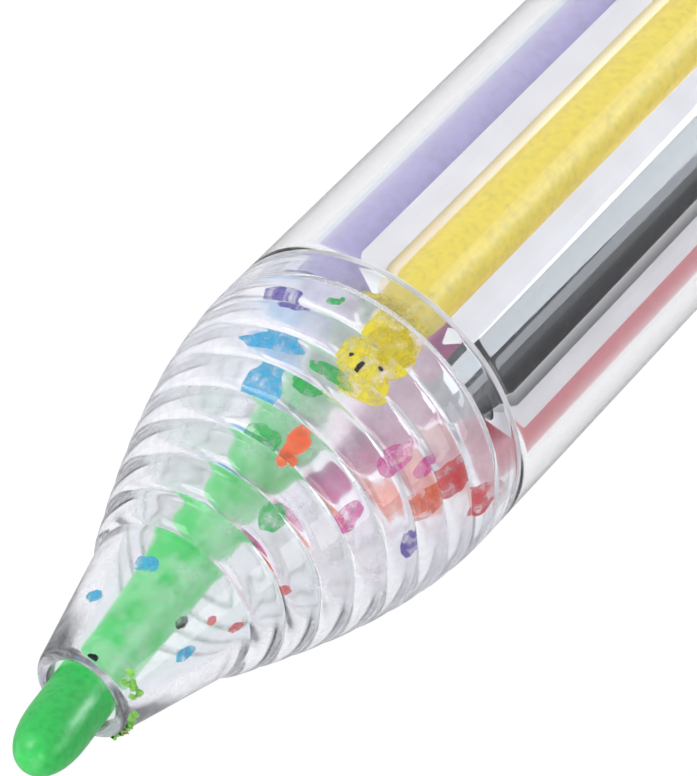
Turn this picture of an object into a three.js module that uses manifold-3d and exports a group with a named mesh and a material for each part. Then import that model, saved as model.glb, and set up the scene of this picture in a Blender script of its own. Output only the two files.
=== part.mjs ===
// A push-out crayon pen: a clear barrel and a clear ribbed nose hold a ring of wax crayons,
// and each crayon has its own thumb slide that pushes its tip out through the one hole in the nose.
// Millimetres, +Z up. The pen stands on its flat end cap with the nose up, and its axis is Z.

import * as THREE from "three";
import { mergeVertices } from "three/addons/utils/BufferGeometryUtils.js";
import Module from "manifold-3d";

const wasm = await Module();
wasm.setup();

// The crayons in order round the pen, anticlockwise seen from the nose. Blue stands at azimuth 0.
const crayonColours = [
  { name: "blue", wax: 0x2f9fd8, plastic: 0x2b93d1 },
  { name: "green", wax: 0x2fb24a, plastic: 0x2aa648 },
  { name: "pink", wax: 0xd8388f, plastic: 0xd43a8c },
  { name: "orange", wax: 0xf0693a, plastic: 0xee6a30 },
  { name: "red", wax: 0xcf3a4c, plastic: 0xd02f3a },
  { name: "black", wax: 0x24262c, plastic: 0x1f2024 },
  { name: "yellow", wax: 0xf0d52a, plastic: 0xf2cf1f },
  { name: "purple", wax: 0x6a55b0, plastic: 0x6650ad },
];
const crayonInUse = "green";

// Clearances
const seatGap = 0.2; // between fixed pieces that are pushed together
const runningGap = 0.3; // round the pieces that slide or turn
const grooveGap = 0.5; // between a crayon and the walls of its groove in the core

// Barrel
const barrelDiameter = 28;
const barrelWall = 1.8;
const barrelLength = 113;
const slotWidth = 3.4;

// Nose
const noseLength = 39;
const noseRimDiameter = 8.1;
const noseHoleDiameter = 6.1;
const noseHoleLand = 1.2;
const noseWall = 1.3;
const smoothLength = 12; // the plain front of the nose, before the first rib
const smoothEndDiameter = 14.1;
const shoulderLength = 3; // the plain band behind the last rib
const riseAtSmoothEnd = 0.42; // how steeply the nose widens, per millimetre, where the ribs start
const riseAtShoulder = 0.03; // and where they end
const ribCount = 8;
const ribHeight = 0.35;
const rimRound = 0.4;
const lapLength = 2.7; // how far the barrel's lip reaches into the nose
const lapWall = 0.8;

// Crayon
const crayonDiameter = 5.2;
const crayonLength = 49.7; // from the tip to the holder's rim
const bulletLength = 5.4;
const bulletFullness = 2.4; // the power of the bullet's curve: 2 is an ellipse, and more is blunter
const shankDiameter = 3.4; // the part of the crayon inside its holder
const shankLength = 6;
const parkedTipPastSeam = 2; // how far a parked tip stands forward of the nose's seam
const tipReach = 8.8; // how far the crayon in use stands out of the nose

// Holder
const holderWall = 0.6;
const holderFloor = 1;
const pinDiameter = 1.1;
const eyeDiameter = 3.1;
const neckWidth = 1.6;
const neckThickness = 1.4;
const forkLip = 0.2; // how far the fork's back stands past the eye

// Thumb slide
const shoeLength = 10;
const shoeWidth = 5.4;
const shoeDepth = 3.3;
const stemLength = 9;
const thumbLength = 14.5;
const thumbWidth = 6.6;
const thumbHeight = 2.9;
const thumbRidges = 4;
const ridgeHeight = 0.6;
const thumbSlope = 2.5; // the sloping length at each end of the thumb piece
const thumbChamfer = 0.8;

// Core
const coreDiameter = 22.6;
const coreSetback = 2; // from the nose's seam back to the front of the core
const tailDiameter = 10;
const tailLength = 3;
const mouthDepth = 20; // of the opening in the front of the core
const mouthCone = 5; // and of its cone-shaped floor

// End cap
const capThickness = 4;
const capSpigotLength = 3;
const capEdge = 0.8;

// Heights along the axis
const barrelBottom = capThickness + seatGap;
const seamHeight = barrelBottom + barrelLength;
const noseBottom = seamHeight + seatGap;
const noseFront = noseBottom + noseLength;
const slideStop = capThickness + capSpigotLength; // the cap's spigot stops every slide here
const shoeBottom = slideStop + runningGap;
const coreTop = seamHeight - coreSetback;
const parkedTip = seamHeight + parkedTipPastSeam;

// Radii
const barrelRadius = barrelDiameter / 2;
const boreRadius = barrelRadius - barrelWall;
const crayonRadius = crayonDiameter / 2;
const ringRadius = boreRadius - runningGap - crayonRadius;
const grooveRadius = crayonRadius + grooveGap;
const noseHoleRadius = noseHoleDiameter / 2;

// The crayon turns on a pin behind its holder. These are measured forward from that pin.
const forkReach = eyeDiameter / 2 + runningGap;
const holderMouth = forkReach + holderFloor + shankLength + runningGap;
const crayonStart = holderMouth + runningGap;
const tipFromPin = crayonStart + crayonLength;
const parkedPin = parkedTip - tipFromPin;

// Pushed out, the crayon leans so that it crosses the axis in the middle of the nose's hole.
const usedTip = noseFront + tipReach;
const fullLean = solveLean();
const fullPush = usedTip - tipFromPin * Math.cos(fullLean) - parkedPin;

function solveLean() {
  let lean = 0;
  for (let pass = 0; pass < 20; pass++) {
    const pin = usedTip - tipFromPin * Math.cos(lean);
    lean = Math.atan2(ringRadius, noseFront - noseHoleLand / 2 - pin);
  }
  return lean;
}

function solidOf(geometry) {
  const bare = geometry.clone();
  bare.deleteAttribute("normal");
  bare.deleteAttribute("uv");
  const merged = mergeVertices(bare, 1e-4);
  const mesh = new wasm.Mesh({
    numProp: 3,
    vertProperties: merged.attributes.position.array,
    triVerts: new Uint32Array(merged.index.array),
  });
  return new wasm.Manifold(mesh);
}

function geometryOf(solid) {
  const mesh = solid.getMesh();
  const geometry = new THREE.BufferGeometry();
  geometry.setAttribute("position", new THREE.BufferAttribute(mesh.vertProperties, 3));
  geometry.setIndex(new THREE.BufferAttribute(mesh.triVerts, 1));
  return geometry;
}

// Turns an outline of [radius, height] pairs about Z. It runs up the outside and down the inside.
function turned(outline, sides) {
  const points = outline.map(([radius, height]) => new THREE.Vector2(radius, height));
  return solidOf(new THREE.LatheGeometry(points, sides).rotateX(Math.PI / 2));
}

function disc(radius, bottom, top, sides) {
  return turned([[0, bottom], [radius, bottom], [radius, top], [0, top]], sides);
}

// A block between two radii, centred on the X axis.
function block(inner, outer, width, bottom, top) {
  const box = new THREE.BoxGeometry(outer - inner, width, top - bottom);
  return solidOf(box.translate((inner + outer) / 2, 0, (bottom + top) / 2));
}

// A flat outline of [x, z] pairs given a width across Y, centred on the XZ plane.
function slab(outline, width) {
  const shape = new THREE.Shape(outline.map(([x, z]) => new THREE.Vector2(x, z)));
  const plate = new THREE.ExtrudeGeometry(shape, { depth: width, bevelEnabled: false });
  return solidOf(plate.rotateX(Math.PI / 2).translate(0, width / 2, 0));
}

// A round rod along Y.
function crossRod(radius, width, x, z, sides) {
  return solidOf(new THREE.CylinderGeometry(radius, radius, width, sides).translate(x, 0, z));
}

function forEachCrayon(make) {
  return crayonColours.map((colour, index) => make(colour, (index / crayonColours.length) * 360));
}

const barrelSides = 64;
const crayonSides = 20;
const holderSides = 16;
const smallSides = 14;
const overcut = 1; // how far a cutter reaches past what it cuts, and a joined part into the next

// Thumb slide heights, with the slide parked at the back of the barrel
const stemBottom = shoeBottom;
const stemTop = stemBottom + stemLength;
const slotEnd = stemTop + fullPush; // the slot's round end is drawn about this height
const slopeStart = parkedPin + crayonStart; // where a parked crayon's body starts, and its groove slopes

// The barrel: a clear tube with a thinned lip for the nose and one slot for each thumb slide.
function makeBarrel() {
  const lipTop = seamHeight + lapLength;
  const lipRadius = boreRadius + lapWall;
  let barrel = turned(
    [
      [boreRadius, barrelBottom],
      [barrelRadius, barrelBottom],
      [barrelRadius, seamHeight],
      [lipRadius, seamHeight],
      [lipRadius, lipTop],
      [boreRadius, lipTop],
      [boreRadius, barrelBottom],
    ],
    barrelSides,
  );
  const inner = boreRadius - overcut;
  const outer = barrelRadius + overcut;
  const straight = block(inner, outer, slotWidth, barrelBottom - overcut, slotEnd);
  const round = new THREE.CylinderGeometry(slotWidth / 2, slotWidth / 2, outer - inner, smallSides);
  round.rotateZ(Math.PI / 2).translate((inner + outer) / 2, 0, slotEnd);
  const slot = straight.add(solidOf(round));
  forEachCrayon((colour, azimuth) => {
    barrel = barrel.subtract(slot.rotate([0, 0, azimuth]));
  });
  return barrel;
}

// The outside of the nose: a plain taper at the front, then a curve that runs out into the barrel.
function noseRadiusAt(behindFront) {
  const rim = noseRimDiameter / 2;
  const smoothEnd = smoothEndDiameter / 2;
  if (behindFront <= smoothLength) {
    return THREE.MathUtils.lerp(rim, smoothEnd, behindFront / smoothLength);
  }
  const curveLength = noseLength - shoulderLength - smoothLength;
  const t = Math.min(1, (behindFront - smoothLength) / curveLength);
  const startRise = riseAtSmoothEnd * curveLength;
  const endRise = riseAtShoulder * curveLength;
  const fromStart = (2 * t ** 3 - 3 * t ** 2 + 1) * smoothEnd + (t ** 3 - 2 * t ** 2 + t) * startRise;
  const shoulder = barrelRadius - ribHeight;
  return fromStart + (3 * t ** 2 - 2 * t ** 3) * shoulder + (t ** 3 - t ** 2) * endRise;
}

// A rib is nearly flat across its top and drops steeply into the groove on either side.
function ribRise(share) {
  return ribHeight * Math.sqrt(1 - (2 * share - 1) ** 4);
}

// The nose: ribs outside, a smooth cavity inside, the hole in front and a socket for the barrel.
function makeNose() {
  const outside = [];
  const place = (behindFront, radius) => [radius, noseFront - behindFront];
  const socketRadius = boreRadius + lapWall + seatGap;
  const socketDepth = noseLength - lapLength - seatGap;
  const ribsEnd = noseLength - shoulderLength;
  const pitch = (ribsEnd - smoothLength) / ribCount;
  outside.push(place(noseLength, barrelRadius));
  for (let rib = ribCount; rib > 0; rib--) {
    const back = smoothLength + rib * pitch;
    outside.push(place(back, noseRadiusAt(back)));
    for (const share of [0.08, 0.5, 0.92]) {
      const at = back - share * pitch;
      outside.push(place(at, noseRadiusAt(at) + ribRise(share)));
    }
  }
  outside.push(place(smoothLength, noseRadiusAt(smoothLength)));
  outside.push(place(smoothLength / 2, noseRadiusAt(smoothLength / 2)));
  outside.push(place(rimRound, noseRadiusAt(rimRound)));
  outside.push(place(0, noseRadiusAt(0) - rimRound));
  const inside = [place(0, noseHoleRadius), place(noseHoleLand, noseHoleRadius)];
  for (const share of [0.2, 0.32, 0.45, 0.6, 0.8, 1]) {
    const at = share * socketDepth;
    inside.push(place(at, noseRadiusAt(at) - noseWall));
  }
  inside.push(place(socketDepth, socketRadius), place(noseLength, socketRadius));
  return turned([...outside, ...inside, outside[0]], 48);
}

// The core: a white rod with one groove for each crayon. Towards the nose the grooves deepen,
// because a crayon leans in to the axis as it goes forward, and they open into one mouth.
function makeCore() {
  const coreRadius = coreDiameter / 2;
  const coreBottom = shoeBottom;
  const over = coreRadius + overcut;
  let core = disc(coreRadius, coreBottom, coreTop, barrelSides);
  const deepestAxis = deepestCrayonAxis(coreTop) - seatGap;
  const floor = new THREE.Vector3(ringRadius - deepestAxis, 0, slopeStart - coreTop);
  const slope = Math.atan2(floor.x, -floor.z);
  const channelLength = floor.length() + 2 * grooveRadius;
  const sloped = new THREE.CylinderGeometry(grooveRadius, grooveRadius, channelLength, crayonSides);
  sloped.rotateX(Math.PI / 2).translate(0, 0, channelLength / 2).rotateY(-slope);
  sloped.translate(ringRadius, 0, slopeStart);
  const wedge = slab(
    [
      [ringRadius, slopeStart],
      [over, slopeStart],
      [over, coreTop + overcut],
      [deepestAxis, coreTop + overcut],
      [deepestAxis, coreTop],
    ],
    2 * grooveRadius,
  );
  const parked = new THREE.CylinderGeometry(grooveRadius, grooveRadius, coreTop, crayonSides);
  parked.rotateX(Math.PI / 2).translate(ringRadius, 0, coreTop / 2);
  const open = block(ringRadius, over, 2 * grooveRadius, 0, coreTop + overcut);
  const groove = solidOf(parked).add(open).add(solidOf(sloped)).add(wedge);
  forEachCrayon((colour, azimuth) => {
    core = core.subtract(groove.rotate([0, 0, azimuth]));
  });
  const tail = disc(tailDiameter / 2, coreBottom - tailLength, coreBottom + overcut, barrelSides / 2);
  return core.subtract(makeMouth()).add(tail);
}

// The nearest that the axis of a crayon comes to the pen's axis at one height, over its whole push.
function deepestCrayonAxis(height) {
  const reach = height - parkedPin;
  const push = reach / 2;
  return ringRadius - (reach - push) * Math.tan((fullLean * push) / fullPush);
}

// The opening in the front of the core, which takes away the thin edges between the deep grooves.
function makeMouth() {
  const mouthRadius = grooveRadius / Math.sin(Math.PI / crayonColours.length) + seatGap;
  const floor = coreTop - mouthDepth;
  const outline = [
    [0, floor - mouthCone],
    [mouthRadius, floor],
    [mouthRadius, coreTop + overcut],
    [0, coreTop + overcut],
  ];
  return turned(outline, barrelSides / 2);
}

// The end cap: a flat-bottomed disc, a spigot in the bore with a tooth in each slot, and a socket.
function makeCap() {
  const spigotRadius = boreRadius - seatGap;
  const socketRadius = tailDiameter / 2 + seatGap;
  const spigotTop = slideStop;
  let cap = turned(
    [
      [0, 0],
      [barrelRadius - capEdge, 0],
      [barrelRadius, capEdge],
      [barrelRadius, capThickness],
      [spigotRadius, capThickness],
      [spigotRadius, spigotTop],
      [socketRadius, spigotTop],
      [socketRadius, shoeBottom - tailLength - seatGap],
      [0, shoeBottom - tailLength - seatGap],
    ],
    barrelSides,
  );
  const toothWidth = slotWidth - 2 * seatGap;
  const toothOuter = barrelRadius - seatGap;
  const toothFoot = capThickness - overcut;
  const tooth = block(spigotRadius - overcut, toothOuter, toothWidth, toothFoot, spigotTop);
  forEachCrayon((colour, azimuth) => {
    cap = cap.add(tooth.rotate([0, 0, azimuth]));
  });
  return cap;
}

// A crayon, along +Z from the pin that it turns on: a thin shank, a round body and a bullet tip.
function makeCrayon() {
  const shankRadius = shankDiameter / 2;
  const outline = [
    [0, holderMouth - shankLength],
    [shankRadius, holderMouth - shankLength],
    [shankRadius, crayonStart],
    [crayonRadius, crayonStart],
  ];
  for (const share of [0, 0.4, 0.65, 0.84, 0.95]) {
    const radius = crayonRadius * (1 - share ** bulletFullness) ** (1 / bulletFullness);
    outline.push([radius, tipFromPin - bulletLength * (1 - share)]);
  }
  outline.push([0, tipFromPin]);
  return turned(outline, crayonSides);
}

// A holder, along +Z from its pin: a cup for the crayon's shank and a fork that carries the pin.
function makeHolder() {
  const cupRadius = crayonRadius - holderWall;
  const forkGap = neckWidth + 2 * runningGap;
  const forkBack = eyeDiameter / 2 + forkLip;
  const cup = turned(
    [
      [0, forkReach],
      [crayonRadius, forkReach],
      [crayonRadius, holderMouth],
      [cupRadius, holderMouth],
      [cupRadius, forkReach + holderFloor],
      [0, forkReach + holderFloor],
    ],
    holderSides,
  );
  const cupFloor = forkReach + holderFloor / 2;
  const cheeks = block(-forkBack, forkBack, crayonDiameter, 0, cupFloor);
  const rounded = cheeks.add(crossRod(forkBack, crayonDiameter, 0, 0, smallSides));
  const round = disc(crayonRadius, -forkBack, cupFloor, holderSides);
  const gap = block(-crayonRadius, crayonRadius, forkGap, -forkBack - overcut, forkReach);
  const fork = rounded.intersect(round).subtract(gap);
  const pin = crossRod(pinDiameter / 2, forkGap + overcut, 0, 0, smallSides);
  return cup.add(fork).add(pin);
}

// A thumb slide in its parked place, on the +X side: thumb piece, stem, shoe, neck and eye.
function makeSlide() {
  const shoeOuter = Math.sqrt((boreRadius - runningGap) ** 2 - (shoeWidth / 2) ** 2);
  const shoe = block(shoeOuter - shoeDepth, shoeOuter, shoeWidth, shoeBottom, shoeBottom + shoeLength);
  const thumbFoot = barrelRadius + runningGap;
  const stemWidth = slotWidth - 2 * runningGap;
  const stem = block(shoeOuter - overcut, thumbFoot + overcut, stemWidth, stemBottom, stemTop);
  const neckBottom = shoeBottom + shoeLength - overcut;
  const neckInner = ringRadius - neckThickness / 2;
  const neck = block(neckInner, neckInner + neckThickness, neckWidth, neckBottom, parkedPin);
  const eye = crossRod(eyeDiameter / 2, neckWidth, ringRadius, parkedPin, smallSides);
  const eyeHole = crossRod(pinDiameter / 2 + runningGap, 2 * neckWidth, ringRadius, parkedPin, smallSides);
  return shoe.add(stem).add(makeThumb(thumbFoot)).add(neck).add(eye).subtract(eyeHole);
}

// The thumb piece: sloping ends and a row of ridges across its top.
function makeThumb(foot) {
  const top = foot + thumbHeight - ridgeHeight;
  const bottomEnd = stemBottom + stemLength / 2 - thumbLength / 2;
  const topEnd = bottomEnd + thumbLength;
  const corner = top - thumbChamfer;
  const pitch = (thumbLength - 2 * thumbSlope) / thumbRidges;
  const outline = [[foot, topEnd], [foot, bottomEnd], [corner, bottomEnd + thumbChamfer / 2]];
  for (let ridge = 0; ridge < thumbRidges; ridge++) {
    const start = bottomEnd + thumbSlope + ridge * pitch;
    outline.push([top, start], [top + ridgeHeight, start + pitch / 3]);
    outline.push([top + ridgeHeight, start + (2 * pitch) / 3]);
  }
  outline.push([top, topEnd - thumbSlope], [corner, topEnd - thumbChamfer / 2]);
  return slab(outline.reverse(), thumbWidth);
}

function named(name, geometry, material) {
  const mesh = new THREE.Mesh(geometry, material);
  mesh.name = name;
  return mesh;
}

function clearPlastic() {
  return new THREE.MeshStandardMaterial({
    color: 0xeef1f6,
    roughness: 0.06,
    metalness: 0,
    transparent: true,
    opacity: 0.3,
  });
}

function solidPlastic(colour) {
  return new THREE.MeshStandardMaterial({ color: colour, roughness: 0.35, metalness: 0 });
}

function wax(colour) {
  return new THREE.MeshStandardMaterial({ color: colour, roughness: 0.55, metalness: 0 });
}

const pen = new THREE.Group();
const whitePlastic = solidPlastic(0xf2f2f4);
pen.add(named("barrel", geometryOf(makeBarrel()), clearPlastic()));
pen.add(named("nose_cone", geometryOf(makeNose()), clearPlastic()));
pen.add(named("crayon_core", geometryOf(makeCore()), whitePlastic));
pen.add(named("end_cap", geometryOf(makeCap()), whitePlastic));

const slideGeometry = geometryOf(makeSlide());
const holderGeometry = geometryOf(makeHolder());
const crayonGeometry = geometryOf(makeCrayon());
forEachCrayon((colour, azimuth) => {
  const used = colour.name === crayonInUse;
  const push = used ? fullPush : 0;
  const plastic = solidPlastic(colour.plastic);
  const station = new THREE.Group();
  station.rotation.z = THREE.MathUtils.degToRad(azimuth);
  const slide = named(`slide_${colour.name}`, slideGeometry, plastic);
  slide.position.z = push;
  const swing = new THREE.Group();
  swing.position.set(ringRadius, 0, parkedPin + push);
  swing.rotation.y = used ? -fullLean : 0;
  swing.add(named(`holder_${colour.name}`, holderGeometry, plastic));
  swing.add(named(`crayon_${colour.name}`, crayonGeometry, wax(colour.wax)));
  station.add(slide, swing);
  pen.add(station);
});

export default pen;
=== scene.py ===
import math
import bmesh
import bpy
import numpy as np
from mathutils import Matrix, Vector


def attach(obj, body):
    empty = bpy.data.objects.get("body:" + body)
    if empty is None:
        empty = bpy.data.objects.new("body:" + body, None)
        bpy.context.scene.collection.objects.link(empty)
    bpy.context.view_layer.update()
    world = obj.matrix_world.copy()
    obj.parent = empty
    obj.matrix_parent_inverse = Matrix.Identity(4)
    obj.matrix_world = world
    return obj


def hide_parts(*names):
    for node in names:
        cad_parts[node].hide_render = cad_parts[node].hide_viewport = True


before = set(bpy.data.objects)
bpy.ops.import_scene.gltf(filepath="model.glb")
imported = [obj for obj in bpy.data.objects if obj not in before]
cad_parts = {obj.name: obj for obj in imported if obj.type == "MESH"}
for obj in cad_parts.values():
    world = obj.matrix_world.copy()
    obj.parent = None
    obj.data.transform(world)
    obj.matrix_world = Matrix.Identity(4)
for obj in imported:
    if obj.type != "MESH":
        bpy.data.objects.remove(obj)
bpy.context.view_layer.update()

mm = 0.001
tau = 2 * np.pi

# The crayons in order round the pen, anticlockwise seen from the nose. Blue stands on the +X side.
colours = {
    "blue": {"wax": (0.03, 0.4, 0.74), "plastic": (0.02, 0.28, 0.64), "smear": (0.03, 0.42, 0.76)},
    "green": {"wax": (0.045, 0.69, 0.13), "plastic": (0.018, 0.38, 0.055), "smear": (0.02, 0.43, 0.07)},
    "pink": {"wax": (0.64, 0.04, 0.3), "plastic": (0.62, 0.04, 0.27), "smear": (0.66, 0.05, 0.32)},
    "orange": {"wax": (0.86, 0.14, 0.04), "plastic": (0.85, 0.13, 0.02), "smear": (0.82, 0.13, 0.05)},
    "red": {"wax": (0.6, 0.065, 0.1), "plastic": (0.6, 0.025, 0.035), "smear": (0.7, 0.05, 0.06)},
    "black": {"wax": (0.012, 0.013, 0.017), "plastic": (0.012, 0.012, 0.015), "smear": (0.012, 0.012, 0.015)},
    "yellow": {"wax": (0.86, 0.7, 0.06), "plastic": (0.83, 0.6, 0.012), "smear": (0.95, 0.76, 0.02)},
    # Purple's wax is lighter than the crayon's own colour: its own purple with a painted whitish reflection
    # mixed in, the veil that the clear barrel lays over it
    "purple": {"wax": (0.4, 0.365, 0.64), "plastic": (0.13, 0.08, 0.4), "smear": (0.1, 0.06, 0.38)},
}
crayonInUse = "green"
stations = len(colours)
sector = tau / stations

# The pen's own sizes in millimetres, as the solids have them
pen = {
    "capThickness": 4.0, "slideStop": 7.0, "shoeBottom": 7.3,
    "barrelBottom": 4.2, "seam": 117.2, "noseBottom": 117.4, "noseFront": 156.4,
    "barrelRadius": 14.0, "boreRadius": 12.2, "slotHalf": 1.7,
    "lap": 2.7, "lipRadius": 13.0, "socketRadius": 13.2,
    "ringRadius": 9.3, "parkedPin": 60.05, "push": 47.05, "lean": math.radians(10.811),
    "crayonRadius": 2.6, "crayonStart": 9.45, "holderMouth": 9.15, "tipFromPin": 59.15,
}


# A grid of points becomes quads between neighbours; a wrapped direction joins its last row to its first.
def gridFaces(rows, columns, wrapRows=False, wrapColumns=False, start=0):
    index = np.arange(rows * columns).reshape(rows, columns) + start
    if wrapRows:
        index = np.vstack([index, index[:1]])
    if wrapColumns:
        index = np.hstack([index, index[:, :1]])
    quads = np.stack([index[:-1, :-1], index[:-1, 1:], index[1:, 1:], index[1:, :-1]], axis=-1)
    return quads.reshape(-1, 4)


# Points from radius, angle and height: x = r cos a, y = r sin a, z = height
def polarPoints(radius, angle, height):
    radius, angle, height = np.broadcast_arrays(radius, angle, height)
    return np.stack([radius * np.cos(angle), radius * np.sin(angle), height], -1).reshape(-1, 3)


# A fan of triangles between a ring of points and one point, turned to face the other way where asked
def fanFaces(ring, centre, reverse=False):
    after = np.roll(ring, -1)
    middle = np.full(len(ring), centre)
    return np.stack((middle, after, ring) if reverse else (ring, after, middle), -1)


# The profile's radius is carried round Z. A closed profile is joined to itself, and an open one
# starts and ends on the axis.
def turnedShell(profile, sides, closed=False):
    outline = np.asarray(profile, float)
    ends = not closed
    ring = outline[1:-1] if ends else outline
    angle = np.arange(sides) / sides * tau
    points = polarPoints(ring[:, :1], angle, ring[:, 1:])
    faces = [gridFaces(len(ring), sides, wrapRows=closed, wrapColumns=True)]
    if ends:
        bottom, count = np.arange(sides), len(points)
        points = np.vstack([points, [[0, 0, outline[0, 1]], [0, 0, outline[-1, 1]]]])
        faces += [fanFaces(bottom, count, reverse=True), fanFaces(bottom + count - sides, count + 1)]
    return points, faces


# Several shells become one: each keeps its faces, shifted by the points before it
def joinShells(shells):
    points, faces, start = [], [], 0
    for shellPoints, shellFaces in shells:
        points.append(shellPoints)
        faces += [part + start for part in shellFaces]
        start += len(shellPoints)
    return np.vstack(points), faces


# A turn about one axis as a 3 by 3 matrix, for points written as rows: points @ turn(axis, angle).T
def turn(axis, angle):
    c, s = math.cos(angle), math.sin(angle)
    return {
        "x": np.array([[1, 0, 0], [0, c, -s], [0, s, c]]),
        "y": np.array([[c, 0, s], [0, 1, 0], [-s, 0, c]]),
        "z": np.array([[c, -s, 0], [s, c, 0], [0, 0, 1]]),
    }[axis]


# A second skin goes to the faces that the zone picks by their middle's radius and height in mm
def addSkin(piece, material, zone):
    mesh = piece.data
    middle = np.empty(len(mesh.polygons) * 3)
    mesh.polygons.foreach_get("center", middle)
    middle = middle.reshape(-1, 3) / mm
    picked = zone(np.hypot(middle[:, 0], middle[:, 1]), middle[:, 2])
    skins = np.empty(len(mesh.polygons), np.int32)
    mesh.polygons.foreach_get("material_index", skins)
    skins[picked] = len(mesh.materials)
    mesh.materials.append(material)
    mesh.polygons.foreach_set("material_index", skins)


# A piece from a shell in mm: it rides on a body, fills a material slot and stands in for CAD nodes.
# Edges sharper than the given angle in degrees stay sharp.
def makePiece(name, shell, material, body, replaced=(), sharp=35, weld=False):
    points, faces = shell
    mesh = bpy.data.meshes.new(name)
    mesh.from_pydata((points * mm).tolist(), [], [f for part in faces for f in part.tolist()])
    mesh.validate()
    piece = bpy.data.objects.new(name, mesh)
    bpy.context.scene.collection.objects.link(piece)
    work = bmesh.new()
    work.from_mesh(mesh)
    if weld:
        bmesh.ops.remove_doubles(work, verts=work.verts, dist=1e-7)
    bmesh.ops.recalc_face_normals(work, faces=work.faces)
    work.to_mesh(mesh)
    work.free()
    mesh.shade_smooth()
    mesh.set_sharp_from_angle(angle=math.radians(sharp))
    mesh.materials.append(material)
    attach(piece, body)
    if replaced:
        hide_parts(*replaced)
    return piece


# A material with its shader and the piece's own coordinates in metres
def newMaterial(name):
    material = bpy.data.materials.new(name)
    material.use_nodes = True
    nodes, links = material.node_tree.nodes, material.node_tree.links
    shader = nodes["Principled BSDF"]
    place = nodes.new("ShaderNodeTexCoord")
    return material, nodes, links, shader, place.outputs["Object"]


# Noise at one scale in features per millimetre, stretched along the pen's axis where asked
def noiseAt(nodes, links, place, perMm, detail=4, roughness=0.55, stretch=1.0):
    mapping = nodes.new("ShaderNodeMapping")
    mapping.inputs["Scale"].default_value = (1000, 1000, 1000 / stretch)
    links.new(place, mapping.inputs["Vector"])
    noise = nodes.new("ShaderNodeTexNoise")
    noise.inputs["Scale"].default_value = perMm
    noise.inputs["Detail"].default_value = detail
    noise.inputs["Roughness"].default_value = roughness
    links.new(mapping.outputs["Vector"], noise.inputs["Vector"])
    return noise.outputs["Fac"]


# A colour ramp over a value: each stop is a place from 0 to 1 and a colour
def rampOf(nodes, links, value, stops):
    ramp = nodes.new("ShaderNodeValToRGB")
    while len(ramp.color_ramp.elements) < len(stops):
        ramp.color_ramp.elements.new(0.5)
    for element, (position, colour) in zip(ramp.color_ramp.elements, stops):
        element.position = position
        element.color = (*colour, 1)
    links.new(value, ramp.inputs["Fac"])
    return ramp.outputs["Color"]


# A value from one range to another: low + (high - low) * share of the way
def rangeOf(nodes, links, value, fromRange, toRange):
    mapped = nodes.new("ShaderNodeMapRange")
    for slot, limit in zip(("From Min", "From Max", "To Min", "To Max"), (*fromRange, *toRange)):
        mapped.inputs[slot].default_value = limit
    links.new(value, mapped.inputs["Value"])
    return mapped.outputs["Result"]


# Two values joined by one operation; the second may be a plain number
def mathOf(nodes, links, operation, first, second):
    step = nodes.new("ShaderNodeMath")
    step.operation = operation
    links.new(first, step.inputs[0])
    if isinstance(second, float):
        step.inputs[1].default_value = second
    else:
        links.new(second, step.inputs[1])
    return step.outputs[0]


# One shader or another, by a share from 0 to 1
def mixOf(nodes, links, share, first, second):
    mix = nodes.new("ShaderNodeMixShader")
    links.new(share, mix.inputs["Fac"])
    links.new(first, mix.inputs[1])
    links.new(second, mix.inputs[2])
    return mix.outputs["Shader"]


# A bump of a height field, its depth in mm, laid over an earlier bump where there is one
def bumpOf(nodes, links, height, strength, distance, before=None):
    bump = nodes.new("ShaderNodeBump")
    bump.inputs["Strength"].default_value = strength
    bump.inputs["Distance"].default_value = distance * mm
    links.new(height, bump.inputs["Height"])
    if before is not None:
        links.new(before, bump.inputs["Normal"])
    return bump.outputs["Normal"]


clearLook = {"ior": 1.49, "shadow": 0.86, "scuffs": 2.4, "scuffStretch": 14, "flow": 0.12, "film": 0.28}


# Clear plastic with scuffs, slow ripples from moulding and, where asked, a patchy white film: what
# passes through is (1 - milk * film) * (1 - cloud milk * share of the way down its heights in metres).
# Its shadow is a plain dimming of the light.
def clearPlastic(name, tint, haze, ripple, milk=0.0, cloud=None):
    material, nodes, links, shader, place = newMaterial(name)
    shader.inputs["Base Color"].default_value = (*tint, 1)
    shader.inputs["Transmission Weight"].default_value = 1
    shader.inputs["IOR"].default_value = clearLook["ior"]
    scuffs = noiseAt(nodes, links, place, clearLook["scuffs"], detail=6, stretch=clearLook["scuffStretch"])
    rough = rampOf(nodes, links, scuffs, [(0.45, (haze[0],) * 3), (0.75, (haze[1],) * 3)])
    links.new(rough, shader.inputs["Roughness"])
    flow = noiseAt(nodes, links, place, clearLook["flow"], detail=1, stretch=3)
    links.new(bumpOf(nodes, links, flow, 1.0, ripple), shader.inputs["Normal"])
    if milk:
        film = noiseAt(nodes, links, place, clearLook["film"], detail=5, roughness=0.62)
        clear = rampOf(nodes, links, film, [(0.42, (1, 1, 1)), (0.7, (1 - milk,) * 3)])
        if cloud:
            height = nodes.new("ShaderNodeSeparateXYZ")
            links.new(place, height.inputs[0])
            thinning = rangeOf(nodes, links, height.outputs["Z"], cloud["heights"], (1 - cloud["milk"], 1))
            clear = mathOf(nodes, links, "MULTIPLY", clear, thinning)
        links.new(clear, shader.inputs["Transmission Weight"])
    passing = nodes.new("ShaderNodeBsdfTransparent")
    passing.inputs["Color"].default_value = (clearLook["shadow"],) * 3 + (1,)
    path = nodes.new("ShaderNodeLightPath")
    both = mixOf(nodes, links, path.outputs["Is Shadow Ray"], shader.outputs["BSDF"], passing.outputs["BSDF"])
    links.new(both, nodes["Material Output"].inputs["Surface"])
    return material


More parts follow.
